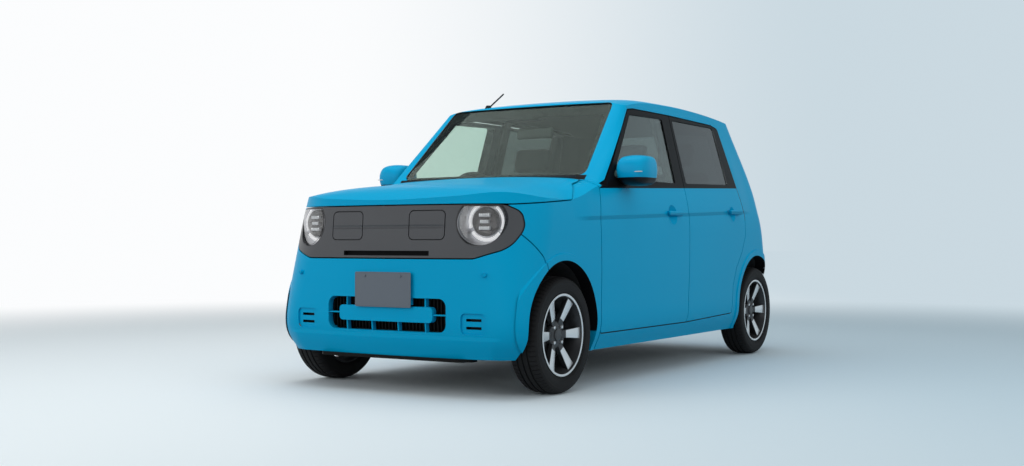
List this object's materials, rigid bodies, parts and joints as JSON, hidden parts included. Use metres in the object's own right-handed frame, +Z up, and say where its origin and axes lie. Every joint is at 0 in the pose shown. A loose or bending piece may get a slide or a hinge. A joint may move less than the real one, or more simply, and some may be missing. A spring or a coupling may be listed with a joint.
{
  "type": "kei car",
  "caption": "Small electric kei car: boxy two-box body with hinged doors, hood, tailgate and charge lids, steered front wheels and free-rolling wheels.",
  "frame": {"origin": "centre of the footprint on the ground", "axes": "+X to the car's left side, nose towards -Y, tail towards +Y, +Z up"},
  "size_m": [1.704, 3.396, 1.5993],
  "materials": {
    "paint": "glossy solid blue paint",
    "panel_grey": "satin mid grey",
    "black_plastic": "grained black",
    "headlamp": "clear lens over bright reflector",
    "tail_lamp": "clear red lens",
    "clear_glass": "light green tint",
    "dark_glass": "dark privacy tint",
    "dash_plastic": "moulded dark grey",
    "seat_fabric": "woven dark grey",
    "plate": "blank plate, matt grey",
    "metal_parts": "coated dark metal",
    "underbody": "dark underbody coating",
    "tyre": "black rubber",
    "alloy": "machined face, dark grey sides"
  },
  "bodies": {
    "body_shell": {"floor_pan": "underbody", "side_frames": "paint", "roof": "paint", "fenders": "paint", "front_bumper": "paint", "front_panel": "panel_grey", "lower_grille": "black_plastic", "headlamps": "headlamp", "rear_bumper": "paint", "tail_lamps": "tail_lamp", "windscreen": "clear_glass", "cowl": "black_plastic", "antenna": "black_plastic", "dashboard": "dash_plastic", "front_seats": "seat_fabric", "rear_seat": "seat_fabric", "number_plate": "plate", "centre_posts": "dash_plastic", "battery_pack": "metal_parts", "drive_unit": "metal_parts", "front_suspension": "metal_parts", "rear_axle": "metal_parts"},
    "hood_panel": {"hood": "paint"},
    "tailgate_door": {"tailgate": "paint", "tailgate_glass": "dark_glass"},
    "door_front_left": {"front_door_left": "paint", "front_glass_left": "clear_glass", "mirror_left": "paint"},
    "door_rear_left": {"rear_door_left": "paint", "rear_glass_left": "dark_glass"},
    "lid_left": {"charge_lid_left": "panel_grey"},
    "steer_left": {"knuckle_left": "metal_parts"},
    "wheel_front_left": {"front_tyre_left": "tyre", "front_rim_left": "alloy"},
    "wheel_rear_left": {"rear_tyre_left": "tyre", "rear_rim_left": "alloy"},
    "door_front_right": {"front_door_right": "paint", "front_glass_right": "clear_glass", "mirror_right": "paint"},
    "door_rear_right": {"rear_door_right": "paint", "rear_glass_right": "dark_glass"},
    "lid_right": {"charge_lid_right": "panel_grey"},
    "steer_right": {"knuckle_right": "metal_parts"},
    "wheel_front_right": {"front_tyre_right": "tyre", "front_rim_right": "alloy"},
    "wheel_rear_right": {"rear_tyre_right": "tyre", "rear_rim_right": "alloy"},
    "steering": {"steering_wheel": "dash_plastic"}
  },
  "joints": [
    {"name": "steering_turn", "type": "hinge", "parent": "body_shell", "child": "steering", "pos_m": [-0.3245, -0.3701, 0.94245], "axis": [0, 0.9135, 0.4067], "range_deg": [-525, 525]},
    {"name": "steer_left_turn", "type": "hinge", "parent": "body_shell", "child": "steer_left", "pos_m": [0.62, -1.2395, 0.2785], "axis": [0, 0, 1], "range_deg": [-35, 35]},
    {"name": "wheel_front_left_spin", "type": "hinge", "parent": "steer_left", "child": "wheel_front_left", "pos_m": [0.6525, -1.2395, 0.2785], "axis": [1, 0, 0], "continuous": true},
    {"name": "wheel_rear_left_spin", "type": "hinge", "parent": "body_shell", "child": "wheel_rear_left", "pos_m": [0.6525, 1.2805, 0.2785], "axis": [1, 0, 0], "continuous": true},
    {"name": "door_front_left_open", "type": "hinge", "parent": "body_shell", "child": "door_front_left", "pos_m": [0.725, -0.843, 0.6], "axis": [0, 0, -1], "range_deg": [0, 65]},
    {"name": "door_rear_left_open", "type": "hinge", "parent": "body_shell", "child": "door_rear_left", "pos_m": [0.725, 0.25, 0.6], "axis": [0, 0, -1], "range_deg": [0, 75]},
    {"name": "lid_left_open", "type": "hinge", "parent": "body_shell", "child": "lid_left", "pos_m": [0.3255, -1.66, 0.797], "axis": [0, 0.0847, 0.9964], "range_deg": [0, 100]},
    {"name": "steer_right_turn", "type": "hinge", "parent": "body_shell", "child": "steer_right", "pos_m": [-0.62, -1.2395, 0.2785], "axis": [0, 0, 1], "range_deg": [-35, 35]},
    {"name": "wheel_front_right_spin", "type": "hinge", "parent": "steer_right", "child": "wheel_front_right", "pos_m": [-0.6525, -1.2395, 0.2785], "axis": [1, 0, 0], "continuous": true},
    {"name": "wheel_rear_right_spin", "type": "hinge", "parent": "body_shell", "child": "wheel_rear_right", "pos_m": [-0.6525, 1.2805, 0.2785], "axis": [1, 0, 0], "continuous": true},
    {"name": "door_front_right_open", "type": "hinge", "parent": "body_shell", "child": "door_front_right", "pos_m": [-0.725, -0.843, 0.6], "axis": [0, 0, 1], "range_deg": [0, 65]},
    {"name": "door_rear_right_open", "type": "hinge", "parent": "body_shell", "child": "door_rear_right", "pos_m": [-0.725, 0.25, 0.6], "axis": [0, 0, 1], "range_deg": [0, 75]},
    {"name": "lid_right_open", "type": "hinge", "parent": "body_shell", "child": "lid_right", "pos_m": [-0.3255, -1.66, 0.797], "axis": [0, -0.0847, -0.9964], "range_deg": [0, 100]},
    {"name": "hood_open", "type": "hinge", "parent": "body_shell", "child": "hood_panel", "pos_m": [0, -0.866, 1.055], "axis": [-1, 0, 0], "range_deg": [0, 50]},
    {"name": "tailgate_open", "type": "hinge", "parent": "body_shell", "child": "tailgate_door", "pos_m": [0, 1.319, 1.503], "axis": [1, 0, 0], "range_deg": [0, 75]}
  ],
  "couplings": [
    {"joint": "steer_left_turn", "follows": "steering_turn", "ratio": 0.066667},
    {"joint": "steer_right_turn", "follows": "steering_turn", "ratio": 0.066667}
  ]
}
